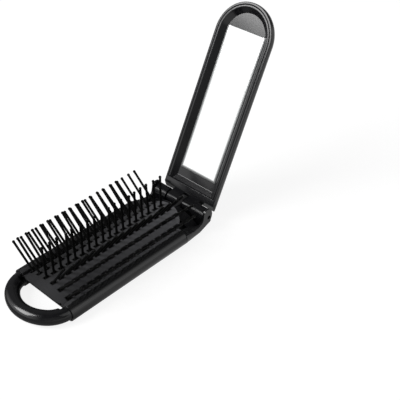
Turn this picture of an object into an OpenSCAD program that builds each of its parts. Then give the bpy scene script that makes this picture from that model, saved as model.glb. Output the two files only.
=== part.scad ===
/* [Body] */
// Width over the sleeve's rails
body_w = 35; // [34:0.5:37]
// Radius of the sleeve's rounded rails
rail_r = 3.7; // [3.6:0.05:3.8]
// Length of the sleeve along the rails
sleeve_len = 60.1; // [58:0.1:61]
// Half width of the perforated plate between the rails
plate_half = 12.43; // [12.2:0.01:12.5]
// Height of the plate's crest above the underside
plate_crest = 9.14; // [8.9:0.01:9.2]
// Rise of the plate from its edge to its crest
plate_crown = 3.35; // [3:0.05:3.4]
// Wall of the perforated plate
plate_wall = 1.0; // [0.8:0.05:1.1]
// Radius of the loop's round rod
rod_r = 2.95; // [2.8:0.05:2.95]
// Reach of the plate's round tongue past the rails
tongue_len = 7.95; // [7:0.05:8]
// Bulge of the plate's other end past the rails
bulge_len = 2.1; // [1.6:0.1:2.2]

/* [Bristles] */
// Rows across the plate
row_pitch = 4.26; // [4.1:0.02:4.3]
// Pitch along a row
pin_pitch = 3.586; // [3.5:0.002:3.6]
// Thickness of one bristle
pin_d = 0.7; // [0.5:0.02:0.7]
// Diameter of the ball on its tip
ball_d = 1.1; // [0.9:0.05:1.2]
// Lean of each row across the brush
row_lean = [-43, -43, -37, 0, 29, 50];
// Free length of each row's bristles above the plate
row_len = [14.2, 14.2, 14.2, 14.4, 15.7, 13.7];
// First place of each row along the plate
row_first = [1, 0, 0, 0, 0, 2];
// Last place of every row
row_last = 17; // [15:1:17]

/* [Lid] */
// Half width of the lid, and the radius of its round end
lid_half = 14.45; // [14.2:0.01:14.45]
// Thickness of the lid
lid_t = 5.0; // [4.8:0.1:5.2]
// Distance from the hinge axis to the tip of the lid
lid_len = 88.6; // [87:0.1:88.8]
// Height of the lid's rim over the hinge axis when it is shut
rim_rise = 1.9; // [1.85:0.01:2]
// Angle of the open lid from shut
open_angle = 117.7; // [110:0.1:120]
// Half width of the mirror
mirror_half = 9.9; // [9.5:0.05:10]
// Depth of the mirror below the rim
mirror_drop = 2.1; // [2:0.05:2.2]
// Thickness of the mirror glass
mirror_t = 1.2; // [1:0.1:1.3]

/* [Hinge] */
// Place of the hinge axis along the brush
hinge_x = 44; // [42:0.5:46]
// Height of the hinge axis
hinge_z = 5.93; // [5.9:0.01:6]
// Travel of the sleeve while the lid swings
sleeve_travel = 2.0; // [1.8:0.1:2]
// Radius of the lid's barrel
barrel_r = 2.4; // [2.2:0.05:2.4]
// Radius of the steel hinge pins
pin_r = 0.9; // [0.8:0.05:1]
// Radius of the frame's knuckles
knuckle_r = 3.05; // [2.8:0.05:3.1]

/* [Hidden] */
$fn = 64;

eps = 0.01;
fit_gap = 0.12;                          // running gap between the rods and the sleeve

rail_z = rail_r + 0.1;                   // height of the rails' centre line
rail_y = body_w / 2 - rail_r;            // rails' centre line, from the middle
rod_y = rail_y + 0.05;
bore_r = rod_r + fit_gap;
sleeve_x1 = hinge_x - 15.36;             // the sleeve's end by the hinge
sleeve_x0 = sleeve_x1 - sleeve_len;      // the sleeve's end by the loop
inner_wall = 0.5;                        // web that carries the plate's edge
web_low = 4.35;                          // lower edge of that web
crown_r = (pow(plate_half, 2) + pow(plate_crown, 2)) / (2 * plate_crown);
back_t = 0.9;                            // wall of the sleeve's back
back_x0 = sleeve_x0 + 3.5;
bulge_half = 10.7;                         // half width of the bulge, inside the loop's corners

// loop: straight rods, a corner arc each side and one end arc
loop_x = hinge_x - 74.77;
corner_r = 10;
corner_a = 50;
corner_lap = 1;
corner_y = rod_y - corner_r;
end_x = loop_x + corner_y * tan(corner_a);
end_r = corner_r + corner_y / cos(corner_a);

// tray inside the sleeve, and the carrier on it
tray_z0 = back_t + 0.4;
tray_z1 = 2.3;
tray_x0 = sleeve_x0 + 2.5;
carrier_z1 = 3.9;
carrier_x0 = sleeve_x0 + 1.2;
carrier_x1 = hinge_x - 9.9;
carrier_half = 12.25;
strip_w = 1.5;
strip_h = 1.0;
knee_d = pin_d + 0.2;                    // ball where a bristle bends
knee_lap = 0.17;
knee_rise = 0.15;
slot_w = 1.3;
slot_len = 2.4;
first_pin_x = hinge_x - 10.79;
screw_x = [sleeve_x0 + 5, sleeve_x1 - 4.2];
screw_y = 2 * row_pitch;                 // between the outer two strips

// hinge block
block_x0 = sleeve_x1 + 0.25;
block_x1 = hinge_x - 4.6;
block_end = hinge_x + 0.9;
ear_out = 15.6;
ear_in = 14.65;
deck_drop = 1.65;
knuckle_in = 7.8;                        // inner end of the knuckles
knuckle_foot = 13;                       // half width of the knuckles' foot
floor_z = 1.2;                           // hollow in front of the knuckles
barrel_floor_z = 2.6;
pin_len = 10.1;
pin_sink = 0.45;                         // depth of the pins' ends in the ears

// drive between the lid and the sleeve: a peg on the lid's barrel runs in a fork on the sleeve
peg_r = 0.6;
crank_r = sleeve_travel / (1 - cos(open_angle));
peg_lag = 0.27 * crank_r;                // the fork moves evenly and the peg along a circle
fork_mid = -crank_r * cos(open_angle);
fork_slot_x0 = fork_mid - peg_r - peg_lag - 0.06;
fork_slot_x1 = fork_mid + peg_r + 0.06;
fork_wall = 0.75;
fork_half = 1.3;
fork_top = crank_r + peg_r + 0.07;
notch_reach = fork_top + 1.75;

// lid, drawn shut: x runs back from the hinge axis, z up from the rim
lid_root = 4.3;
lid_round = 3.6;
barrel_half = knuckle_in - 0.35;
lid_wall = 1.1;
lid_floor = 1.2;
end_c = lid_len - lid_half;
cavity_half = lid_half - lid_wall;
cavity_root = 7;
recess_half = 12.3;
recess_root = 5.3;
floor_root = 9.1;
mirror_x0 = 12.94;
mirror_x1 = 76.9;
panel_depth = 0.4;
panel_half = 11.4;

function row_y(i) = (i - 2.5) * row_pitch;
function crest_z(y) = plate_crest - crown_r + sqrt(crown_r * crown_r - y * y);
function arc_pts(cx, cy, r, a0, a1, n = 12) =
    [for (i = [0:n]) [cx + r * cos(a0 + (a1 - a0) * i / n), cy + r * sin(a0 + (a1 - a0) * i / n)]];

// a 2D (y, z) section run along x
module along_x(x0, x1) {
    translate([x0, 0, 0]) rotate([90, 0, 90]) linear_extrude(x1 - x0) children();
}

// a 2D (x, z) profile run along y, centred
module along_y(width) {
    rotate([90, 0, 0]) linear_extrude(width, center = true) children();
}

module both_sides() {
    children();
    mirror([0, 1, 0]) children();
}

module rod_x(x0, x1, y, z, r) {
    translate([x0, y, z]) rotate([0, 90, 0]) cylinder(h = x1 - x0, r = r);
}

module rod_y(y0, y1, x, z, r) {
    translate([x, y1, z]) rotate([90, 0, 0]) cylinder(h = y1 - y0, r = r);
}

// section under the crowned surface, lowered by drop
module crown_area(drop, half) {
    intersection() {
        translate([0, plate_crest - crown_r]) circle(crown_r - drop, $fn = 180);
        translate([-half, 0]) square([2 * half, plate_crest]);
    }
}

// ---------- frame ----------
module loop_arcs() {
    // the corners are a hair thinner and run on into the rods on both sides
    both_sides() translate([loop_x, corner_y, rail_z]) rotate([0, 0, 90 - corner_lap])
        rotate_extrude(angle = corner_a + 2 * corner_lap)
            translate([corner_r, 0]) circle(rod_r - 0.02, $fn = 48);
    translate([end_x, 0, rail_z]) rotate([0, 0, 90 + corner_a])
        rotate_extrude(angle = 180 - 2 * corner_a) translate([end_r, 0]) circle(rod_r, $fn = 48);
}

// side of the block: a low cheek that rises into the upright ear
module side_profile() {
    translate([hinge_x, 0]) polygon(concat(
        [[-16, 5.9], [-13, 5.2], [-9.6, 4.5], [-5.6, 4.25], [-4.2, 4.7], [-3.4, 5.9], [-3.0, 7.8]],
        arc_pts(-0.55, 7.9, 2.45, 172, 8, 10),
        [[1.85, 6.0], [0.9, 3.4], [-2.4, 2.2], [-5.6, 1.0], [-9.4, 0], [-16, 0]]));
}

// side cheek that runs from the round rail to the flat ear
module cheek() {
    intersection() {
        hull() {
            rod_x(block_x0, block_x0 + 0.1, rail_y, rail_z, rail_r, $fn = 48);
            rod_y(ear_in, ear_out, hinge_x - 5.5, 2.65, 1.6, $fn = 32);
        }
        along_y(40) side_profile();
    }
}

// thick knuckle between the ear and the lid's barrel, and its foot
module knuckle() {
    rod_y(knuckle_in, ear_in + eps, hinge_x, hinge_z, knuckle_r);
    translate([hinge_x - knuckle_r, knuckle_in, 0])
        cube([block_end - hinge_x + knuckle_r, knuckle_foot - knuckle_in, hinge_z]);
    translate([0, (knuckle_in + ear_in) / 2, 0]) along_y(ear_in - knuckle_in + eps) intersection() {
        side_profile();
        translate([hinge_x - knuckle_r, 0]) square([6, hinge_z]);
    }
}

module loop_frame() {
    color([0.03, 0.03, 0.035]) difference() {
        union() {
            both_sides() {
                rod_x(loop_x, block_x0 + 0.1, rod_y, rail_z, rod_r);
                cheek();
                translate([0, (ear_in + ear_out) / 2, 0]) along_y(ear_out - ear_in) intersection() {
                    side_profile();
                    translate([block_x1 - 1, 0]) square([20, 20]);
                }
                knuckle();
            }
            loop_arcs();
            // tray floor between the rods
            translate([tray_x0, -rod_y + 0.6, tray_z0])
                cube([block_x0 - tray_x0 + 1, 2 * rod_y - 1.2, tray_z1 - tray_z0]);
            // bridge under the deck, and the floor from it to the barrel
            along_x(block_x0, block_x1) crown_area(deck_drop, rail_y);
            translate([block_x1 - 1, -knuckle_foot, 0])
                cube([hinge_x - knuckle_r - block_x1 + 2, 2 * knuckle_foot, floor_z]);
            translate([hinge_x - knuckle_r, -knuckle_in - eps, 0])
                cube([block_end - hinge_x + knuckle_r, 2 * knuckle_in + 2 * eps, barrel_floor_z]);
        }
        // flat inside faces of the rods, where the sleeve's inner webs slide
        both_sides() translate([sleeve_x0 - sleeve_travel - 0.25, 0, web_low - 0.3])
            cube([block_x0 - sleeve_x0 + sleeve_travel + 0.25, plate_half + inner_wall + 0.12, 6]);
        // seat of the carrier
        translate([carrier_x0 - 1, -carrier_half - 0.1, tray_z1])
            cube([carrier_x1 - carrier_x0 + 1.2, 2 * carrier_half + 0.2, 8]);
        // room for the shut lid over the block
        translate([block_x0 - 1, -ear_in, rail_z + rail_r - 0.15])
            cube([hinge_x - 4 - block_x0 + 1, 2 * ear_in, 8]);
        // groove for the fork's arm
        translate([carrier_x1 - 1, -fork_half - 0.35, hinge_z - 1.6]) cube([12, 2 * fork_half + 0.7, 8]);
        // bores for the hinge pins
        rod_y(knuckle_in - 1, ear_out + 1, hinge_x, hinge_z, pin_r);
        rod_y(-ear_out - 1, -knuckle_in + 1, hinge_x, hinge_z, pin_r);
        // countersunk holes for the carrier's screws
        screw_shapes(0.05);
        // flat underside
        translate([block_x0 - 1, -30, -5]) cube([30, 60, 5]);
    }
}

module screw_shapes(grow = 0) {
    for (x = screw_x, s = [-1, 1]) translate([x, s * screw_y, tray_z0 - eps]) {
        cylinder(h = 0.6, r1 = 1.0 + grow, r2 = 0.5 + grow, $fn = 32);
        cylinder(h = carrier_z1 - tray_z0 - 0.3 + grow, r = 0.5 + grow, $fn = 32);
    }
}

module carrier_screws() {
    color([0.6, 0.6, 0.62]) difference() {
        screw_shapes();
        for (x = screw_x, s = [-1, 1]) translate([x, s * screw_y, tray_z0 - 1 + 0.25])
            for (a = [0, 90]) rotate([0, 0, a]) cube([1.1, 0.22, 2], center = true);
    }
}

module hinge_pin(side) {
    color([0.7, 0.7, 0.72]) translate([hinge_x, side * (ear_out - pin_sink), hinge_z])
        rotate([side * 90, 0, 0]) cylinder(h = pin_len, r = pin_r);
}
module hinge_pin_near() { hinge_pin(-1); }
module hinge_pin_far() { hinge_pin(1); }

// ---------- bristle strips ----------
module strip_carrier() {
    color([0.05, 0.05, 0.055]) difference() {
        translate([carrier_x0, -carrier_half, tray_z1])
            cube([carrier_x1 - carrier_x0, 2 * carrier_half, carrier_z1 - tray_z1]);
        for (i = [0:5]) translate([carrier_x0 - 1, row_y(i) - strip_w / 2, carrier_z1 - strip_h])
            cube([carrier_x1 - carrier_x0 + 2, strip_w, strip_h + 1]);
        screw_shapes(0);
    }
}

// one bristle: upright in its slot, then leaning out of it
module bristle(i) {
    knee = crest_z(row_y(i)) + knee_rise;
    translate([0, 0, carrier_z1 - 0.2])
        cylinder(h = knee - knee_lap - carrier_z1 + 0.2, r1 = pin_d / 2 + 0.15, r2 = pin_d / 2, $fn = 16);
    translate([0, 0, knee]) sphere(d = knee_d, $fn = 16);
    translate([0, 0, knee]) rotate([-row_lean[i], 0, 0]) {
        translate([0, 0, knee_lap]) cylinder(h = row_len[i] - knee_lap, d = pin_d, $fn = 16);
        translate([0, 0, row_len[i]]) sphere(d = ball_d, $fn = 16);
    }
}

module bristle_row(i) {
    color([0.04, 0.04, 0.04]) union() {
        translate([carrier_x0, row_y(i) - strip_w / 2, carrier_z1 - strip_h])
            cube([carrier_x1 - carrier_x0, strip_w, strip_h]);
        for (k = [row_first[i]:row_last]) translate([first_pin_x - k * pin_pitch, row_y(i), 0])
            bristle(i);
    }
}
module bristle_row_1() { bristle_row(0); }
module bristle_row_2() { bristle_row(1); }
module bristle_row_3() { bristle_row(2); }
module bristle_row_4() { bristle_row(3); }
module bristle_row_5() { bristle_row(4); }
module bristle_row_6() { bristle_row(5); }

// ---------- sleeve ----------
module rail_section() {
    difference() {
        translate([rail_y, rail_z]) circle(rail_r);
        translate([0, web_low]) square([plate_half, 20]);
        translate([0, -1]) square([plate_half, web_low + 2]);
        translate([0, back_t]) square([plate_half + inner_wall, web_low - back_t]);
        difference() {
            translate([rod_y, rail_z]) circle(bore_r);
            translate([0, web_low]) square([plate_half + inner_wall, 20]);
        }
    }
}

module plate_outline() {
    tongue_half = plate_half - 0.25;
    tongue_r = (pow(tongue_half, 2) + pow(tongue_len, 2)) / (2 * tongue_len);
    translate([sleeve_x0, -plate_half - 0.1]) square([sleeve_len, 2 * plate_half + 0.2]);
    intersection() {
        translate([sleeve_x1 + tongue_len - tongue_r, 0]) circle(tongue_r, $fn = 120);
        translate([sleeve_x1 - 1, -tongue_half]) square([20, 2 * tongue_half]);
    }
    polygon([for (i = [0:24]) [sleeve_x0 + eps - bulge_len * sin(180 * i / 24),
                               -bulge_half * cos(180 * i / 24)]]);
}

module plate_slots() {
    for (i = [0:5]) {
        outer = i == 0 || i == 5;
        for (k = [(outer ? 1 : 0):row_last])
            translate([first_pin_x - k * pin_pitch - slot_len / 2, row_y(i) - slot_w / 2, 3.5])
                cube([slot_len, slot_w, 8]);
    }
}

module drive_fork() {
    difference() {
        union() {
            // arm under the tongue and out over the deck
            translate([hinge_x - 13, -fork_half, hinge_z - 0.35])
                cube([13 + fork_slot_x0 - fork_wall + 0.2, 2 * fork_half, 1.7]);
            translate([hinge_x - 13, -fork_half, hinge_z + 1])
                cube([3.6, 2 * fork_half, plate_crest - plate_wall - hinge_z - 0.7]);
            translate([hinge_x + fork_slot_x0 - fork_wall, -fork_half, hinge_z - 0.95])
                cube([fork_slot_x1 - fork_slot_x0 + 2 * fork_wall, 2 * fork_half, fork_top + 0.95 + 0.65]);
        }
        translate([hinge_x + fork_slot_x0, -5, hinge_z - 3])
            cube([fork_slot_x1 - fork_slot_x0, 10, 3 + fork_top]);
    }
}

module sleeve() {
    color([0.09, 0.09, 0.095]) union() {
        both_sides() along_x(sleeve_x0, sleeve_x1) rail_section();
        difference() {
            intersection() {
                along_x(sleeve_x0 - bulge_len - 1, hinge_x) difference() {
                    crown_area(0, plate_half + 0.1);
                    crown_area(plate_wall, plate_half + 1);
                }
                linear_extrude(20) plate_outline();
            }
            plate_slots();
        }
        drive_fork();
    }
}

module sleeve_back() {
    color([0.09, 0.09, 0.095])
        translate([back_x0, -plate_half, 0]) cube([sleeve_x1 - back_x0, 2 * plate_half, back_t]);
}

// ---------- lid ----------
module place_lid() {
    translate([hinge_x, 0, hinge_z]) rotate([0, open_angle, 0]) translate([0, 0, rim_rise])
        mirror([1, 0, 0]) children();
}

// half of the lid's section: side wall, then round onto the back
module lid_half_section(half, top, round_r) {
    polygon(concat([[0, 0], [half, 0]], arc_pts(half - round_r, top - round_r, round_r, 0, 90),
                   [[0, top]]));
}

module lid_form(half, top, round_r, x0, cx) {
    both_sides() along_x(x0, cx) lid_half_section(half, top, round_r);
    translate([cx, 0, 0]) rotate([0, 0, -90]) rotate_extrude(angle = 180)
        lid_half_section(half, top, round_r);
}

// root of the lid in profile: rim corner, heel and the round back
module root_profile() {
    polygon(concat([[lid_root, 0], [1.9, 2.3]], arc_pts(5.0, lid_t - 2.9, 2.9, 176, 92, 8),
                   [[lid_len + 1, lid_t + 1], [lid_len + 1, 0]]));
}

module lid_web() {
    polygon([[lid_root, 0], [lid_root + 2, 0.2], [lid_root + 2, 3], [1.9, 2.3], [-1.45, 0.0],
             [0, -rim_rise], [1.95, -rim_rise - 1.39]]);
}

module panel_plan(half) {
    difference() {
        union() {
            translate([20, -half]) square([end_c - 20, 2 * half]);
            translate([end_c, 0]) circle(half);
            intersection() {
                translate([31, 0]) circle(13.9);
                translate([0, -half]) square([31, 2 * half]);
            }
        }
        difference() {
            translate([10, -20]) square([21, 40]);
            translate([31, 0]) circle(13.9 - (panel_half - half));
        }
    }
}

module lid_shell() {
    color([0.02, 0.02, 0.025]) place_lid() difference() {
        union() {
            intersection() {
                lid_form(lid_half, lid_t, lid_round, 0, end_c);
                along_y(60) root_profile();
            }
            difference() {
                union() {
                    along_y(2 * barrel_half) lid_web();
                    rod_y(-barrel_half, barrel_half, 0, -rim_rise, barrel_r);
                }
                // notch for the fork and its arm
                translate([-4, -fork_half - 0.35, -rim_rise - 4])
                    cube([4 + notch_reach, 2 * fork_half + 0.7, 4 + rim_rise + 1]);
                translate([-4, -fork_half - 0.35, -rim_rise - 4])
                    cube([4 + lid_root + 0.2, 2 * fork_half + 0.7, 4 + rim_rise - 0.3]);
            }
            // peg between the notch's walls
            rod_y(-fork_half - 1, fork_half + 1, crank_r, -rim_rise, peg_r);
        }
        // cavity for the bezel
        lid_cavity(0);
        // blind bores for the hinge pins
        rod_y(ear_out - pin_sink - pin_len - 0.3, 20, 0, -rim_rise, pin_r + 0.05);
        rod_y(-20, -ear_out + pin_sink + pin_len + 0.3, 0, -rim_rise, pin_r + 0.05);
        // recess for the grip panel
        translate([0, 0, lid_t - panel_depth]) linear_extrude(3) panel_plan(panel_half);
        // thumb scoop
        translate([17, 0, lid_t + 10.9]) sphere(12, $fn = 96);
    }
}

module lid_cavity(shrink) {
    translate([0, 0, -eps]) linear_extrude(lid_t - lid_floor + eps) {
        translate([cavity_root + shrink, -cavity_half + shrink])
            square([end_c - cavity_root - shrink, 2 * (cavity_half - shrink)]);
        translate([end_c, 0]) circle(cavity_half - shrink);
    }
}

module grip_panel() {
    color([0.025, 0.025, 0.03]) place_lid() difference() {
        translate([0, 0, lid_t - panel_depth]) linear_extrude(panel_depth + 0.3)
            panel_plan(panel_half - 0.05);
        // channels between the ribs
        for (k = [-4:4]) translate([14, k * 2.35 - 0.45, lid_t - 0.05]) cube([90, 0.9, 1]);
    }
}

// funnel-shaped recess round the mirror
module recess() {
    intersection() {
        union() {
            along_x(0, end_c) polygon([[-recess_half, 0], [recess_half, 0],
                [mirror_half + 0.2, mirror_drop], [-mirror_half - 0.2, mirror_drop]]);
            translate([end_c, 0, 0]) cylinder(h = mirror_drop, r1 = recess_half, r2 = mirror_half + 0.2);
        }
        along_y(60) polygon([[recess_root, 0], [floor_root, mirror_drop],
                             [lid_len, mirror_drop + 1], [lid_len, 0]]);
    }
}

module lid_bezel() {
    color([0.02, 0.02, 0.025]) place_lid() difference() {
        union() {
            intersection() {
                lid_cavity(0.05);
                cube([300, 60, 2 * (lid_t - lid_floor)], center = true);
            }
        }
        translate([0, 0, -eps]) recess();
        // pocket for the glass and its pad
        translate([mirror_x0 - 0.1, -mirror_half - 0.1, mirror_drop - 0.2])
            cube([mirror_x1 - mirror_x0 + 0.2, 2 * mirror_half + 0.2, 4]);
    }
}

module mirror_pad() {
    color([0.85, 0.85, 0.8]) place_lid() translate([mirror_x0 + 1, -mirror_half + 1, mirror_drop + mirror_t])
        cube([mirror_x1 - mirror_x0 - 2, 2 * mirror_half - 2, lid_t - lid_floor - mirror_drop - mirror_t]);
}

module mirror_glass() {
    color([0.8, 0.82, 0.85]) place_lid() translate([mirror_x0, -mirror_half, mirror_drop])
        cube([mirror_x1 - mirror_x0, 2 * mirror_half, mirror_t]);
}

loop_frame();
strip_carrier();
carrier_screws();
bristle_row_1();
bristle_row_2();
bristle_row_3();
bristle_row_4();
bristle_row_5();
bristle_row_6();
hinge_pin_near();
hinge_pin_far();
sleeve();
sleeve_back();
lid_shell();
grip_panel();
lid_bezel();
mirror_pad();
mirror_glass();
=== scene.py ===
import math

import bmesh
import bpy
from mathutils import Euler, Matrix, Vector


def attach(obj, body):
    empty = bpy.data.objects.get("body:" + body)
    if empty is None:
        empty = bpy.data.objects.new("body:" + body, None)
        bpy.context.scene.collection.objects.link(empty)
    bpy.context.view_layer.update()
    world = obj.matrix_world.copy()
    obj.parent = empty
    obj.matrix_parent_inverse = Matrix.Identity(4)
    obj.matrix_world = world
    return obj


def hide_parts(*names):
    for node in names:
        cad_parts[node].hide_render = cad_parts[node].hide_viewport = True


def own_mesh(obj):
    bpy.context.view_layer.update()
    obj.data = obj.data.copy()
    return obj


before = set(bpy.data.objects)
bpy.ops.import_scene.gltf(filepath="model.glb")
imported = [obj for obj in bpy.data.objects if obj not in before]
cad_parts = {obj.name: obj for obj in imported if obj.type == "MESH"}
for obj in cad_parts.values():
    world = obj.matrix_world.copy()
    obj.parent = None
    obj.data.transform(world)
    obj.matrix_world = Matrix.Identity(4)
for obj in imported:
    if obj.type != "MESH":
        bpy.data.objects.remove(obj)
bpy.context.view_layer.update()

# ---------- sizes, in metres ----------
MM = 0.001

# hinge and lid; distances on the lid run from the hinge's axis
HINGE_X = 44.0 * MM
HINGE_HALF = 14.7 * MM
HINGE = Vector((HINGE_X, 0, 5.93 * MM))
LID_ANGLE = math.radians(117.7)
RIM_RISE = 1.9 * MM
RAMP_FOOT = 9.1 * MM
RAMP_FOOT_DEPTH = 2.1 * MM
RAMP_FOOT_HALF = 9.8 * MM
MIRROR_FOOT = 12.94 * MM
MIRROR_HALF = 9.9 * MM

# sleeve: a crowned plate between two round rails
PLATE_CREST = 9.14 * MM
PLATE_HALF = 12.43 * MM
PLATE_CROWN = 3.35 * MM
PLATE_WALL = 1.0 * MM
CROWN_RADIUS = (PLATE_HALF ** 2 + PLATE_CROWN ** 2) / (2 * PLATE_CROWN)
RAIL_Y = 13.8 * MM
RAIL_Z = 3.8 * MM
RAIL_RADIUS = 3.7 * MM

# bristles; the rows count from the near side, and a lean is in degrees toward the far side
CARRIER_TOP = 3.9 * MM
ROW_PITCH = 4.26 * MM
PIN_PITCH = 3.586 * MM
FIRST_PIN_X = HINGE_X - 10.79 * MM
PIN_RADIUS = 0.50 * MM
BALL_RADIUS = 0.62 * MM
PIN_SIDES = 10
BALL_SIDES = 12
BALL_RINGS = 8
KNEE_RINGS = 6
KNEE_RISE = 0.15 * MM
KNEE_SWELL = 1.15
FOOT_SWELL = 1.45
PIN_SPREAD = math.radians(1.6)
FIRST_SEED = 11
ROW_LEAN = (-43, -43, -37, 0, 45, 50)
ROW_LENGTH = (14.2, 14.2, 14.2, 14.4, 15.6, 13.7)
ROW_FIRST = (1, 0, 0, 0, 0, 2)
ROW_LAST = 17

# edge rounds that the moulds leave
FRAME_ROUND = 0.12 * MM
SLEEVE_ROUND = 0.10 * MM
COVER_ROUND = 0.2 * MM
RIM_ROUND = 0.3 * MM
SHELL_ROUND = 0.08 * MM
GRIP_ROUND = 0.1 * MM
RAMP_ROUND = 0.12 * MM


# ---------- finishes ----------
GRAIN_DEPTH = 0.02 * MM
PLASTIC_IOR = 1.49

# sleeve: each level is a share of the satin plate's tone; the rails' level is their own darker
# finish, and the others are painted shade and light
SATIN_TONES = (0.076, 0.076, 0.081), (0.088, 0.088, 0.094)
SATIN_ROUGH = (0.38, 0.46)
SATIN_GRAIN = 0.25
RAIL_LEVEL = 0.10
RAIL_POLISH = 0.22
RAIL_GRAIN = 0.03
SEAM_Y = 14.3 * MM
SEAM_BLUR = 0.15 * MM
# painted shade: the slots' walls below the crowned face are darkened
SLOT_WALL_SHADE_LEVEL = 0.12
SLOT_WALL_SHADE_DEPTHS = (0.50 * MM, 0.20 * MM)
# painted light and shade along the plate: darker toward the loop end, lighter toward the hinge
LENGTH_LIGHT_LEVELS = (0.42, 1.45)
LENGTH_LIGHT_ENDS = (-34 * MM, 30 * MM)
# painted shadow of the bristle rows: the plate darkens over its far side
FAR_SIDE_SHADE_LEVEL = 0.55
FAR_SIDE_SHADE_ENDS = (-3 * MM, 4 * MM)
# painted shade: a dark patch round each slot
SLOT_SHADE_LEVEL = 0.12
SLOT_SHADE_BLUR = 0.15
SLOT_SHADE_HALF_LENGTH = 1.40 * MM
SLOT_SHADE_HALF_WIDTH = 0.95 * MM

# hinge: where the dull zone fades in on the bristles' side of the axis, and out beyond and above
DULL_SPECULAR = 0.18
DULL_FROM = (HINGE_X - 12 * MM, HINGE_X - 9 * MM)
DULL_TO = (HINGE_X + 6 * MM, HINGE_X + 8 * MM)
DULL_TOP = (9.0 * MM, 10.0 * MM)

# mirror: the ground margin
GROUND_WIDTH = 1.2 * MM
GROUND_LEVEL = 0.12
GROUND_ROUGHNESS = 0.35


# ---------- node helpers ----------
def new_material(name):
    """An empty material with one shader: the material, its node tree and the shader."""
    material = bpy.data.materials.new(name)
    material.use_nodes = True
    tree = material.node_tree
    tree.nodes.clear()
    output = tree.nodes.new("ShaderNodeOutputMaterial")
    shader = tree.nodes.new("ShaderNodeBsdfPrincipled")
    tree.links.new(shader.outputs["BSDF"], output.inputs["Surface"])
    return material, tree, shader


def calc(tree, kind, a, b=None):
    """A maths node on one or two numbers or sockets."""
    node = tree.nodes.new("ShaderNodeMath")
    node.operation = kind
    for index, value in ((0, a), (1, b)):
        if isinstance(value, (int, float)):
            node.inputs[index].default_value = value
        elif value is not None:
            tree.links.new(value, node.inputs[index])
    return node.outputs[0]


def ramp_between(tree, value, low, high, at_low, at_high):
    """Takes low to at_low and high to at_high, in a straight line that stops at both."""
    remap = tree.nodes.new("ShaderNodeMapRange")
    remap.inputs["From Min"].default_value = low
    remap.inputs["From Max"].default_value = high
    remap.inputs["To Min"].default_value = at_low
    remap.inputs["To Max"].default_value = at_high
    tree.links.new(value, remap.inputs["Value"])
    return remap.outputs["Result"]


def scaled(tree, vector, factor):
    """A vector or colour times a number."""
    node = tree.nodes.new("ShaderNodeVectorMath")
    node.operation = "SCALE"
    tree.links.new(vector, node.inputs[0])
    tree.links.new(factor, node.inputs["Scale"])
    return node.outputs[0]


def along(tree, vector, direction):
    """How far a vector reaches in a direction."""
    node = tree.nodes.new("ShaderNodeVectorMath")
    node.operation = "DOT_PRODUCT"
    node.inputs[1].default_value = direction
    tree.links.new(vector, node.inputs[0])
    return node.outputs["Value"]


def object_place(tree):
    """The place on the object, and its three coordinates."""
    spot = tree.nodes.new("ShaderNodeTexCoord").outputs["Object"]
    axes = tree.nodes.new("ShaderNodeSeparateXYZ")
    tree.links.new(spot, axes.inputs[0])
    return spot, axes.outputs


def object_noise(tree, scale, detail=3.0, stretch=(1, 1, 1)):
    """Noise on the object's own coordinates, drawn out by stretch along each axis."""
    spot = tree.nodes.new("ShaderNodeTexCoord")
    mapping = tree.nodes.new("ShaderNodeMapping")
    mapping.inputs["Scale"].default_value = stretch
    noise = tree.nodes.new("ShaderNodeTexNoise")
    noise.inputs["Scale"].default_value = scale
    noise.inputs["Detail"].default_value = detail
    tree.links.new(spot.outputs["Object"], mapping.inputs["Vector"])
    tree.links.new(mapping.outputs["Vector"], noise.inputs["Vector"])
    return noise


def spread(tree, noise, low, high):
    """Turns a noise of about 0.3 to 0.7 into low to high."""
    return ramp_between(tree, noise.outputs["Fac"], 0.3, 0.7, low, high)


def tone(tree, noise, dark, light):
    """A colour that drifts between two with the noise."""
    ramp = tree.nodes.new("ShaderNodeValToRGB")
    ramp.color_ramp.elements[0].position = 0.3
    ramp.color_ramp.elements[1].position = 0.7
    ramp.color_ramp.elements[0].color = (*dark, 1)
    ramp.color_ramp.elements[1].color = (*light, 1)
    tree.links.new(noise.outputs["Fac"], ramp.inputs["Fac"])
    return ramp.outputs["Color"]


def bump(tree, shader, noise, strength):
    """Fine moulded grain on the shader's surface."""
    node = tree.nodes.new("ShaderNodeBump")
    node.inputs["Strength"].default_value = strength
    node.inputs["Distance"].default_value = GRAIN_DEPTH
    tree.links.new(noise.outputs["Fac"], node.inputs["Height"])
    tree.links.new(node.outputs["Normal"], shader.inputs["Normal"])
    return node


# ---------- materials ----------
def dull_at_hinge(tree, shader, specular):
    """Lowers the gloss on the hinge's moving surfaces, which are spark-eroded and rub in use."""
    _, axes = object_place(tree)
    zone = calc(tree, "LESS_THAN", calc(tree, "ABSOLUTE", axes["Y"]), HINGE_HALF)
    for limit in (
        ramp_between(tree, axes["X"], *DULL_FROM, 0.0, 1.0),
        ramp_between(tree, axes["X"], *DULL_TO, 1.0, 0.0),
        ramp_between(tree, axes["Z"], *DULL_TOP, 1.0, 0.0),
    ):
        zone = calc(tree, "MULTIPLY", zone, limit)
    gloss = ramp_between(tree, zone, 0.0, 1.0, specular, DULL_SPECULAR)
    tree.links.new(gloss, shader.inputs["Specular IOR Level"])


def moulded_plastic(name, dark, light, rough, grain_scale, grain, cloud_scale=60.0, specular=0.5,
                    dull_hinge=False):
    """Moulded plastic: slow drift in tone and gloss, and a fine moulded grain."""
    material, tree, shader = new_material(name)
    cloud = object_noise(tree, cloud_scale)
    tree.links.new(tone(tree, cloud, dark, light), shader.inputs["Base Color"])
    tree.links.new(spread(tree, cloud, *rough), shader.inputs["Roughness"])
    shader.inputs["IOR"].default_value = PLASTIC_IOR
    shader.inputs["Specular IOR Level"].default_value = specular
    bump(tree, shader, object_noise(tree, grain_scale, 2.0), grain)
    if dull_hinge:
        dull_at_hinge(tree, shader, specular)
    return material


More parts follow.
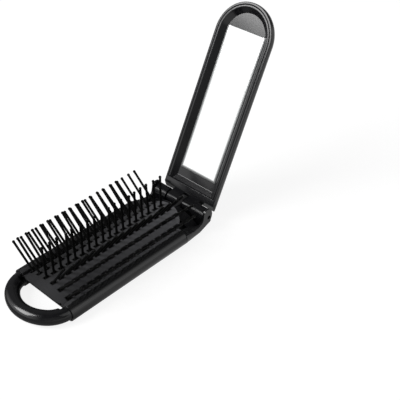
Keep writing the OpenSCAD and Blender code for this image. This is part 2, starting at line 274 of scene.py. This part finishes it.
def off_grid(tree, value, start, pitch):
    """How far a place is from the nearest line of a grid, in metres."""
    turns = calc(tree, "DIVIDE", calc(tree, "SUBTRACT", value, start), pitch)
    part = calc(tree, "FRACT", calc(tree, "ADD", turns, 0.5))
    return calc(tree, "MULTIPLY", calc(tree, "ABSOLUTE", calc(tree, "SUBTRACT", part, 0.5)), pitch)


def painted_slot_shade(tree, x, y):
    """The level of the painted shade round the slots, and 1 elsewhere on the plate."""
    lengthwise = calc(tree, "DIVIDE", off_grid(tree, x, FIRST_PIN_X, PIN_PITCH), SLOT_SHADE_HALF_LENGTH)
    crosswise = calc(tree, "DIVIDE", off_grid(tree, y, ROW_PITCH / 2, ROW_PITCH), SLOT_SHADE_HALF_WIDTH)
    from_slot = calc(tree, "MAXIMUM", lengthwise, crosswise)
    shade_patches = ramp_between(tree, from_slot, 1 - SLOT_SHADE_BLUR, 1 + SLOT_SHADE_BLUR, SLOT_SHADE_LEVEL, 1.0)
    last_pin_x = FIRST_PIN_X - ROW_LAST * PIN_PITCH
    beyond = calc(tree, "LESS_THAN", x, last_pin_x - PIN_PITCH / 2)
    before = calc(tree, "GREATER_THAN", x, FIRST_PIN_X + PIN_PITCH / 2)
    return calc(tree, "MAXIMUM", shade_patches, calc(tree, "MAXIMUM", beyond, before))


def painted_slot_wall_shade(tree, across, z):
    """The level of the painted shade on the slots' walls, which lie below the crowned face, and 1
    on the face.
    """
    rise = calc(tree, "SUBTRACT", z, PLATE_CREST - CROWN_RADIUS)
    squares = calc(tree, "ADD", calc(tree, "MULTIPLY", across, across),
                   calc(tree, "MULTIPLY", rise, rise))
    depths = [CROWN_RADIUS - depth for depth in SLOT_WALL_SHADE_DEPTHS]
    return ramp_between(tree, calc(tree, "SQRT", squares), *depths, SLOT_WALL_SHADE_LEVEL, 1.0)


def sleeve_plastic():
    """Black sleeve: satin on the plate and the rails' tops, polished below, with painted shade in
    and round the slots and over the far side, and painted light and shade along the plate.
    """
    material, tree, shader = new_material("satin_black_sleeve")
    cloud = object_noise(tree, 60.0)
    _, axes = object_place(tree)
    across = calc(tree, "ABSOLUTE", axes["Y"])
    on_rail = ramp_between(tree, across, SEAM_Y - SEAM_BLUR, SEAM_Y + SEAM_BLUR, 0.0, 1.0)
    plate_level = calc(tree, "SUBTRACT", 1.0, on_rail)
    # each share darkens or lightens the plate: painted shade in and round the slots and over the
    # far side, painted light and shade along the plate
    for share in (
        painted_slot_wall_shade(tree, across, axes["Z"]),
        painted_slot_shade(tree, axes["X"], axes["Y"]),
        ramp_between(tree, axes["X"], *LENGTH_LIGHT_ENDS, *LENGTH_LIGHT_LEVELS),
        ramp_between(tree, axes["Y"], *FAR_SIDE_SHADE_ENDS, 1.0, FAR_SIDE_SHADE_LEVEL),
    ):
        plate_level = calc(tree, "MULTIPLY", plate_level, share)
    level = calc(tree, "ADD", plate_level, calc(tree, "MULTIPLY", on_rail, RAIL_LEVEL))
    satin = tone(tree, cloud, *SATIN_TONES)
    tree.links.new(scaled(tree, satin, level), shader.inputs["Base Color"])
    polish = calc(tree, "MULTIPLY", on_rail, RAIL_POLISH)
    tree.links.new(calc(tree, "SUBTRACT", spread(tree, cloud, *SATIN_ROUGH), polish),
                   shader.inputs["Roughness"])
    shader.inputs["IOR"].default_value = PLASTIC_IOR
    grain = bump(tree, shader, object_noise(tree, 4200.0, 2.0), SATIN_GRAIN)
    tree.links.new(ramp_between(tree, on_rail, 0.0, 1.0, SATIN_GRAIN, RAIL_GRAIN),
                   grain.inputs["Strength"])
    return material


def mirror_silver():
    """Mirror, clear in the middle, with a ground margin along its sides and its foot."""
    material, tree, shader = new_material("mirror_silver")
    cloud = object_noise(tree, 45.0)
    spot, axes = object_place(tree)
    up_lid = Vector((-math.cos(LID_ANGLE), 0, math.sin(LID_ANGLE)))
    from_foot = calc(tree, "SUBTRACT", along(tree, spot, up_lid), up_lid.dot(HINGE) + MIRROR_FOOT)
    from_side = calc(tree, "SUBTRACT", MIRROR_HALF, calc(tree, "ABSOLUTE", axes["Y"]))
    margin = ramp_between(tree, calc(tree, "MINIMUM", from_side, from_foot),
                          GROUND_WIDTH * 0.4, GROUND_WIDTH, 1.0, 0.0)
    silver = tone(tree, cloud, (0.90, 0.92, 0.92), (0.94, 0.95, 0.95))
    level = ramp_between(tree, margin, 0.0, 1.0, 1.0, GROUND_LEVEL)
    tree.links.new(scaled(tree, silver, level), shader.inputs["Base Color"])
    ground = calc(tree, "MULTIPLY", margin, GROUND_ROUGHNESS)
    tree.links.new(calc(tree, "ADD", spread(tree, cloud, 0.008, 0.02), ground),
                   shader.inputs["Roughness"])
    shader.inputs["Metallic"].default_value = 1.0
    return material


def steel(name, dark, light, rough):
    """Ground steel, its marks running across the brush."""
    material, tree, shader = new_material(name)
    streaks = object_noise(tree, 900.0, 4.0, (1, 0.1, 1))
    tree.links.new(tone(tree, streaks, dark, light), shader.inputs["Base Color"])
    tree.links.new(spread(tree, streaks, *rough), shader.inputs["Roughness"])
    shader.inputs["Metallic"].default_value = 1.0
    return material


GLOSS_BLACK = moulded_plastic("gloss_black_frame", (0.004, 0.004, 0.005), (0.008, 0.008, 0.009),
                              (0.13, 0.20), 700.0, 0.05, dull_hinge=True)
LID_BLACK = moulded_plastic("gloss_black_lid", (0.005, 0.005, 0.006), (0.009, 0.009, 0.010),
                            (0.13, 0.18), 500.0, 0.012, dull_hinge=True)
SATIN_BLACK = sleeve_plastic()
CARRIER_BLACK = moulded_plastic("matt_black_carrier", (0.012, 0.012, 0.013), (0.020, 0.020, 0.021),
                                (0.5, 0.6), 3000.0, 0.3)
NYLON_BLACK = moulded_plastic("nylon_bristle", (0.002, 0.002, 0.002), (0.004, 0.004, 0.004),
                              (0.40, 0.50), 2500.0, 0.1, 300.0, specular=0.08)
SCREW_STEEL = steel("screw_steel", (0.42, 0.42, 0.43), (0.60, 0.60, 0.61), (0.22, 0.36))
# painted shade: the pins are coloured near black so their ends show as dark holes in the ears
PIN_SHADE_BLACK = steel("pin_steel_painted_dark", (0.008, 0.008, 0.009), (0.014, 0.014, 0.015),
                  (0.45, 0.55))
SILVER = mirror_silver()
FOAM = moulded_plastic("foam_tape", (0.70, 0.70, 0.66), (0.80, 0.80, 0.76), (0.8, 0.9), 3500.0, 0.6)


# ---------- mesh helpers ----------
MERGE_DISTANCE = 1e-7
FLAT_ANGLE = math.radians(0.08)
HARD_ANGLE = math.radians(34)
BEVEL_ANGLE = math.radians(28)


def link(obj):
    bpy.context.scene.collection.objects.link(obj)
    return obj


def plain_mesh(obj):
    """Bakes the object's modifiers into its mesh."""
    graph = bpy.context.evaluated_depsgraph_get()
    mesh = bpy.data.meshes.new_from_object(obj.evaluated_get(graph), preserve_all_data_layers=True,
                                           depsgraph=graph)
    old = obj.data
    obj.modifiers.clear()
    obj.data = mesh
    mesh.name = obj.name
    bpy.data.meshes.remove(old)
    return obj


def lid_local(spot):
    """A point on the raised lid, as (from the hinge, across, up from the rim) on the shut lid."""
    arm = spot - HINGE
    cos, sin = math.cos(LID_ANGLE), math.sin(LID_ANGLE)
    return Vector((-(cos * arm.x - sin * arm.z), arm.y, sin * arm.x + cos * arm.z - RIM_RISE))


def edge_turn(edge):
    """The angle between an edge's two faces, or none where it hasn't two."""
    return edge.calc_face_angle(0) if len(edge.link_faces) == 2 else None


def dressed_copy(node, name, material, *edge_rounds):
    """A copy of a CAD node with its edges rounded as a mould leaves them.

    Each edge round is (radius, steps, test). It takes the sharp edges whose middle passes the test.
    """
    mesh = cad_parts[node].data.copy()
    mesh.materials.clear()
    mesh.materials.append(material)
    work = bmesh.new()
    work.from_mesh(mesh)
    bmesh.ops.remove_doubles(work, verts=work.verts, dist=MERGE_DISTANCE)
    bmesh.ops.dissolve_limit(work, angle_limit=FLAT_ANGLE, verts=work.verts, edges=work.edges)
    for radius, steps, test in edge_rounds:
        chosen = []
        for edge in work.edges:
            turn = edge_turn(edge)
            if turn is None or turn < BEVEL_ANGLE:
                continue
            if test((edge.verts[0].co + edge.verts[1].co) / 2):
                chosen.append(edge)
        bmesh.ops.bevel(work, geom=chosen, offset=radius, segments=steps, profile=0.5,
                        affect="EDGES", clamp_overlap=True)
    for edge in work.edges:
        turn = edge_turn(edge)
        edge.smooth = turn is not None and turn < HARD_ANGLE
    for face in work.faces:
        face.material_index = 0
        face.smooth = True
    work.to_mesh(mesh)
    work.free()
    obj = link(bpy.data.objects.new(name, mesh))
    shade = obj.modifiers.new("shade", "WEIGHTED_NORMAL")
    shade.mode = "FACE_AREA"
    shade.weight = 50
    shade.keep_sharp = True
    return plain_mesh(obj)


def true_rounds(obj, rounds):
    """Gives faces on lengthwise cylinders, each (y, z, radius), the cylinder's own normals."""
    corner_reach = 0.03 * MM
    centre_reach = 0.28 * MM
    face_leeway = math.cos(math.radians(14))
    normal_leeway = math.cos(math.radians(30))
    mesh = obj.data
    normals = [Vector(corner.vector) for corner in mesh.corner_normals]
    owner = {}
    for face in mesh.polygons:
        for index, (y, z, radius) in enumerate(rounds):
            out = Vector((0, face.center.y - y, face.center.z - z))
            if abs(out.length - radius) > centre_reach or out.length < 1e-6:
                continue
            if abs(out.normalized().dot(face.normal)) < face_leeway:
                continue
            for vertex in face.vertices:
                spot = mesh.vertices[vertex].co
                if abs(math.hypot(spot.y - y, spot.z - z) - radius) < corner_reach:
                    owner[vertex] = index
    for loop in mesh.loops:
        index = owner.get(loop.vertex_index)
        if index is None:
            continue
        y, z, radius = rounds[index]
        spot = mesh.vertices[loop.vertex_index].co
        out = Vector((0, spot.y - y, spot.z - z)).normalized()
        turn = out.dot(normals[loop.index])
        if abs(turn) > normal_leeway:
            normals[loop.index] = out if turn > 0 else -out
    mesh.normals_split_custom_set([tuple(v) for v in normals])
    return obj


def place(obj, body, slot, *nodes):
    """Hands a finished piece to its body and hides the CAD nodes that it stands for; its slot is
    not used.
    """
    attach(obj, body)
    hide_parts(*nodes)
    return obj


# ---------- bristles ----------
def plate_z(y):
    """The height of the crowned plate at a distance across the brush."""
    return PLATE_CREST - CROWN_RADIUS + math.sqrt(CROWN_RADIUS ** 2 - y ** 2)


def bristle_tree():
    """A row of bristles: an upright stem, a knee and a leaning shaft with a ball on its tip."""
    tree = bpy.data.node_groups.new("bristle_row", "GeometryNodeTree")
    face = tree.interface
    face.new_socket("Geometry", in_out="INPUT", socket_type="NodeSocketGeometry")
    face.new_socket("Geometry", in_out="OUTPUT", socket_type="NodeSocketGeometry")
    inputs = {}
    for label, kind, value in (
        ("Count", "NodeSocketInt", 18),
        ("Pitch", "NodeSocketFloat", PIN_PITCH),
        ("Length", "NodeSocketFloat", 14 * MM),
        ("Stem", "NodeSocketFloat", 4 * MM),
        ("Radius", "NodeSocketFloat", PIN_RADIUS),
        ("Ball", "NodeSocketFloat", BALL_RADIUS),
        ("Lean", "NodeSocketFloat", 0.0),
        ("Spread", "NodeSocketFloat", PIN_SPREAD),
        ("Start", "NodeSocketVector", (0, 0, 0)),
        ("Seed", "NodeSocketInt", 1),
        ("Material", "NodeSocketMaterial", None),
    ):
        socket = face.new_socket(label, in_out="INPUT", socket_type=kind)
        if value is not None:
            socket.default_value = value
        inputs[label] = socket.identifier
    nodes, links = tree.nodes, tree.links
    entry = nodes.new("NodeGroupInput")
    leave = nodes.new("NodeGroupOutput")

    def vector_z(value):
        node = nodes.new("ShaderNodeCombineXYZ")
        links.new(value, node.inputs["Z"])
        return node.outputs[0]

    line = nodes.new("GeometryNodeMeshLine")
    line.mode = "OFFSET"
    links.new(entry.outputs["Count"], line.inputs["Count"])
    links.new(entry.outputs["Start"], line.inputs["Start Location"])
    step = nodes.new("ShaderNodeCombineXYZ")
    links.new(calc(tree, "MULTIPLY", entry.outputs["Pitch"], -1.0), step.inputs["X"])
    links.new(step.outputs[0], line.inputs["Offset"])

    shaft = nodes.new("GeometryNodeMeshCylinder")
    shaft.inputs["Vertices"].default_value = PIN_SIDES
    shaft.fill_type = "NONE"
    links.new(entry.outputs["Radius"], shaft.inputs["Radius"])
    links.new(entry.outputs["Length"], shaft.inputs["Depth"])
    lift = nodes.new("GeometryNodeTransform")
    links.new(shaft.outputs["Mesh"], lift.inputs["Geometry"])
    half_length = calc(tree, "MULTIPLY", entry.outputs["Length"], 0.5)
    links.new(vector_z(half_length), lift.inputs["Translation"])

    ball = nodes.new("GeometryNodeMeshUVSphere")
    ball.inputs["Segments"].default_value = BALL_SIDES
    ball.inputs["Rings"].default_value = BALL_RINGS
    links.new(entry.outputs["Ball"], ball.inputs["Radius"])
    tip = nodes.new("GeometryNodeTransform")
    links.new(ball.outputs["Mesh"], tip.inputs["Geometry"])
    links.new(vector_z(entry.outputs["Length"]), tip.inputs["Translation"])

    knee = nodes.new("GeometryNodeMeshUVSphere")
    knee.inputs["Segments"].default_value = PIN_SIDES
    knee.inputs["Rings"].default_value = KNEE_RINGS
    links.new(calc(tree, "MULTIPLY", entry.outputs["Radius"], KNEE_SWELL), knee.inputs["Radius"])

    leaning = nodes.new("GeometryNodeJoinGeometry")
    for piece in (lift, tip):
        links.new(piece.outputs["Geometry"], leaning.inputs["Geometry"])
    links.new(knee.outputs["Mesh"], leaning.inputs["Geometry"])

    stem = nodes.new("GeometryNodeMeshCone")
    stem.inputs["Vertices"].default_value = PIN_SIDES
    foot_radius = calc(tree, "MULTIPLY", entry.outputs["Radius"], FOOT_SWELL)
    links.new(foot_radius, stem.inputs["Radius Bottom"])
    links.new(entry.outputs["Radius"], stem.inputs["Radius Top"])
    links.new(entry.outputs["Stem"], stem.inputs["Depth"])
    sink = nodes.new("GeometryNodeTransform")
    links.new(stem.outputs["Mesh"], sink.inputs["Geometry"])
    stem_down = calc(tree, "MULTIPLY", entry.outputs["Stem"], -1.0)
    links.new(vector_z(stem_down), sink.inputs["Translation"])

    wander = nodes.new("FunctionNodeRandomValue")
    wander.data_type = "FLOAT_VECTOR"
    wander.inputs[0].default_value = (-1, -1, 0)
    wander.inputs[1].default_value = (1, 1, 0)
    links.new(entry.outputs["Seed"], wander.inputs["Seed"])
    lean = nodes.new("ShaderNodeCombineXYZ")
    links.new(calc(tree, "MULTIPLY", entry.outputs["Lean"], -1.0), lean.inputs["X"])
    turn = nodes.new("ShaderNodeVectorMath")
    links.new(lean.outputs[0], turn.inputs[0])
    links.new(scaled(tree, wander.outputs[0], entry.outputs["Spread"]), turn.inputs[1])

    joined = nodes.new("GeometryNodeJoinGeometry")
    for piece, turned in ((leaning, True), (sink, False)):
        copies = nodes.new("GeometryNodeInstanceOnPoints")
        links.new(line.outputs["Mesh"], copies.inputs["Points"])
        links.new(piece.outputs["Geometry"], copies.inputs["Instance"])
        if turned:
            links.new(turn.outputs[0], copies.inputs["Rotation"])
        links.new(copies.outputs["Instances"], joined.inputs["Geometry"])
    real = nodes.new("GeometryNodeRealizeInstances")
    links.new(joined.outputs["Geometry"], real.inputs["Geometry"])
    smooth = nodes.new("GeometryNodeSetShadeSmooth")
    links.new(real.outputs["Geometry"], smooth.inputs["Geometry"])
    paint = nodes.new("GeometryNodeSetMaterial")
    links.new(smooth.outputs["Geometry"], paint.inputs["Geometry"])
    links.new(entry.outputs["Material"], paint.inputs["Material"])
    links.new(paint.outputs["Geometry"], leave.inputs["Geometry"])
    return tree, inputs


def bristle_rows():
    """The six rows, each leaning the way it squashes when the lid shuts."""
    tree, inputs = bristle_tree()
    for index, degrees in enumerate(ROW_LEAN):
        lean = math.radians(degrees)
        y = (index - (len(ROW_LEAN) - 1) / 2) * ROW_PITCH
        knee_z = plate_z(y) + KNEE_RISE
        obj = link(bpy.data.objects.new(f"bristles_{index + 1}", bpy.data.meshes.new("row")))
        modifier = obj.modifiers.new("row", "NODES")
        modifier.node_group = tree
        values = {
            "Count": ROW_LAST - ROW_FIRST[index] + 1,
            "Length": ROW_LENGTH[index] * MM,
            "Stem": knee_z - CARRIER_TOP,
            "Lean": lean,
            "Start": (FIRST_PIN_X - ROW_FIRST[index] * PIN_PITCH, y, knee_z),
            "Seed": FIRST_SEED + index,
            "Material": NYLON_BLACK,
        }
        for label, value in values.items():
            modifier[inputs[label]] = value
        plain_mesh(obj)
        place(obj, "frame", "bristle_nylon", f"bristle_row_{index + 1}")
        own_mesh(obj)


bristle_rows()


# ---------- frame, sleeve and lid ----------
def anywhere(spot):
    return True


def on_rim(spot):
    return abs(lid_local(spot).z) < 0.02 * MM


def at_ramp_foot(spot):
    """The edge across the lid where the ramp below the mirror starts."""
    here = lid_local(spot)
    near = abs(here.x - RAMP_FOOT) < 0.4 * MM and abs(here.z - RAMP_FOOT_DEPTH) < 0.3 * MM
    return near and abs(here.y) < RAMP_FOOT_HALF


PLATE_FACES = [(0, PLATE_CREST - CROWN_RADIUS, CROWN_RADIUS - wall) for wall in (0, PLATE_WALL)]
RAIL_FACES = [(side * RAIL_Y, RAIL_Z, RAIL_RADIUS) for side in (-1, 1)]

place(dressed_copy("loop_frame", "frame_moulding", GLOSS_BLACK, (FRAME_ROUND, 3, anywhere)),
      "frame", "frame_gloss_black", "loop_frame")
place(true_rounds(dressed_copy("sleeve", "sleeve_moulding", SATIN_BLACK,
                               (SLEEVE_ROUND, 3, anywhere)), PLATE_FACES + RAIL_FACES),
      "sleeve", "sleeve_satin_black", "sleeve")
place(dressed_copy("sleeve_back", "sleeve_cover", SATIN_BLACK, (COVER_ROUND, 3, anywhere)),
      "sleeve", "sleeve_satin_black", "sleeve_back")
place(dressed_copy("lid_shell", "lid_outer_shell", LID_BLACK, (RIM_ROUND, 4, on_rim),
                   (SHELL_ROUND, 3, anywhere)),
      "lid", "lid_gloss_black", "lid_shell")
place(dressed_copy("grip_panel", "lid_grip_panel", LID_BLACK, (GRIP_ROUND, 3, anywhere)),
      "lid", "lid_gloss_black", "grip_panel")
place(dressed_copy("lid_bezel", "lid_mirror_bezel", LID_BLACK, (RIM_ROUND, 4, on_rim),
                   (RAMP_ROUND, 3, at_ramp_foot)),
      "lid", "bezel_gloss_black", "lid_bezel")
place(dressed_copy("mirror_glass", "lid_mirror", SILVER),
      "lid", "mirror_silver", "mirror_glass")

# hidden pieces and the pins stay as CAD makes them
for node, material in (
    ("strip_carrier", CARRIER_BLACK),
    ("carrier_screws", SCREW_STEEL),
    ("hinge_pin_near", PIN_SHADE_BLACK),
    ("hinge_pin_far", PIN_SHADE_BLACK),
    ("mirror_pad", FOAM),
):
    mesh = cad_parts[node].data
    mesh.materials.clear()
    mesh.materials.append(material)


# ---------- floor and backdrop ----------
FLOOR_RADIUS = 3.0
FLOOR_DROP = 0.02 * MM
FLOOR_SIDES = 96
# (matt tone, own light) of the floor as the camera sees it and as all else but gloss does
FLOOR_IN_VIEW = (0.20, 0.86)
FLOOR_IN_LIGHT = (0.60, 0.0)
FLOOR_IN_GLOSS = 0.08
# what gloss sees of the floor brightens toward the near side: (from, to, own light at each)
NEAR_SIDE = (0.5, -1.0, 0.0)
GLOW_STEPS = ((-60 * MM, 0.0, 0.02, 0.22), (5 * MM, 25 * MM, 0.0, 0.40))
ROOM_LIGHT = 0.35
DARK_ROOM = 0.05
# each wall that gloss sees: direction, the cosines at its edge and where it is full, brightness
WALLS = (
    ((-0.83, 0.54, 0.14), 0.60, 0.90, 1.15),    # white, under the key lamp
    ((0.65, 0.50, 0.57), 0.45, 0.90, 0.16),     # dark grey, beyond the lid
    ((0.64, -0.76, 0.10), 0.76, 0.95, 1.20),    # white, beside the hinge
    ((-0.62, -0.76, 0.17), 0.80, 0.95, 0.25),   # grey, beside the loop
)


def light_path_mix(tree, rays, seen, unseen):
    """Mixes two shaders: seen for the rays named, unseen for all others."""
    path = tree.nodes.new("ShaderNodeLightPath")
    total = path.outputs[rays[0]]
    for ray in rays[1:]:
        total = calc(tree, "MAXIMUM", total, path.outputs[ray])
    mix = tree.nodes.new("ShaderNodeMixShader")
    tree.links.new(total, mix.inputs["Fac"])
    tree.links.new(unseen, mix.inputs[1])
    tree.links.new(seen, mix.inputs[2])
    return mix.outputs[0]


def lit_matt(tree, matt_tone, own_light):
    """A matt grey with some light of its own, which may be a number or a socket."""
    matt = tree.nodes.new("ShaderNodeBsdfDiffuse")
    matt.inputs["Color"].default_value = (matt_tone, matt_tone, matt_tone, 1)
    lamp = tree.nodes.new("ShaderNodeEmission")
    if isinstance(own_light, float):
        lamp.inputs["Strength"].default_value = own_light
    else:
        tree.links.new(own_light, lamp.inputs["Strength"])
    both = tree.nodes.new("ShaderNodeAddShader")
    tree.links.new(matt.outputs[0], both.inputs[0])
    tree.links.new(lamp.outputs[0], both.inputs[1])
    return both.outputs[0]


def floor():
    bpy.ops.mesh.primitive_circle_add(vertices=FLOOR_SIDES, radius=FLOOR_RADIUS, fill_type="NGON",
                                      location=(0, 0, -FLOOR_DROP))
    obj = bpy.context.object
    obj.name = "floor"
    material = bpy.data.materials.new("pale_floor")
    material.use_nodes = True
    tree = material.node_tree
    tree.nodes.clear()
    output = tree.nodes.new("ShaderNodeOutputMaterial")
    spot, _ = object_place(tree)
    beside = along(tree, spot, NEAR_SIDE)
    near_glow = calc(tree, "ADD", *[ramp_between(tree, beside, *step) for step in GLOW_STEPS])
    off_camera = light_path_mix(tree, ("Is Glossy Ray",), lit_matt(tree, FLOOR_IN_GLOSS, near_glow),
                                lit_matt(tree, *FLOOR_IN_LIGHT))
    mixed = light_path_mix(tree, ("Is Camera Ray",), lit_matt(tree, *FLOOR_IN_VIEW), off_camera)
    tree.links.new(mixed, output.inputs["Surface"])
    obj.data.materials.append(material)


def backdrop():
    """White to the camera, a dim room to matt surfaces, and four walls in a dark room to gloss."""
    world = bpy.data.worlds.new("studio")
    bpy.context.scene.world = world
    world.use_nodes = True
    tree = world.node_tree
    tree.nodes.clear()
    output = tree.nodes.new("ShaderNodeOutputWorld")
    seen = tree.nodes.new("ShaderNodeBackground")
    seen.inputs["Strength"].default_value = 1.0
    dim = tree.nodes.new("ShaderNodeBackground")
    dim.inputs["Color"].default_value = (1, 1, 1, 1)
    dim.inputs["Strength"].default_value = ROOM_LIGHT
    mixed = light_path_mix(tree, ("Is Camera Ray", "Is Glossy Ray", "Is Transmission Ray"),
                           seen.outputs[0], dim.outputs[0])
    bearing = tree.nodes.new("ShaderNodeTexCoord").outputs["Generated"]
    level = tree.nodes.new("ShaderNodeLightPath").outputs["Is Camera Ray"]
    for direction, edge, full, brightness in WALLS:
        toward = along(tree, bearing, Vector(direction).normalized())
        wall = ramp_between(tree, toward, edge, full, DARK_ROOM, brightness)
        level = calc(tree, "MAXIMUM", level, wall)
    tree.links.new(level, seen.inputs["Color"])
    tree.links.new(mixed, output.inputs["Surface"])


floor()
backdrop()


# ---------- light ----------
def softbox(name, azimuth, elevation, reach, width, height, radiance):
    """A rectangular lamp aimed at the brush, placed by its bearing in degrees."""
    data = bpy.data.lights.new(name, "AREA")
    data.shape = "RECTANGLE"
    data.size = width
    data.size_y = height
    data.energy = radiance * math.pi * width * height
    obj = link(bpy.data.objects.new(name, data))
    turn, rise = math.radians(azimuth), math.radians(elevation)
    level = math.cos(rise)
    toward = Vector((math.cos(turn) * level, math.sin(turn) * level, math.sin(rise)))
    obj.location = toward * reach
    obj.rotation_euler = toward.to_track_quat("Z", "Y").to_euler()
    return obj


softbox("key_box", azimuth=149, elevation=41, reach=1.0, width=0.56, height=0.55, radiance=9.6)
softbox("side_box", azimuth=-82, elevation=38, reach=0.9, width=0.50, height=0.55, radiance=0.8)


# ---------- camera ----------
CAMERA_SPOT = (-153.14 * MM, -194.45 * MM, 216.50 * MM)
CAMERA_AZIMUTH = math.radians(46.975)
CAMERA_ELEVATION = math.radians(37.107)
SENSOR_WIDTH = 36.0
FOCAL_SHARE = 805.67 / 400.0    # focal length over the picture's width
camera_data = bpy.data.cameras.new("camera")
camera_data.sensor_width = SENSOR_WIDTH
camera_data.lens = SENSOR_WIDTH * FOCAL_SHARE
camera_data.clip_start = 0.01
camera = link(bpy.data.objects.new("camera", camera_data))
camera.location = CAMERA_SPOT
camera.rotation_euler = Euler((math.pi / 2 - CAMERA_ELEVATION, 0, -CAMERA_AZIMUTH))
bpy.context.scene.camera = camera
bpy.context.scene.view_settings.view_transform = "Standard"
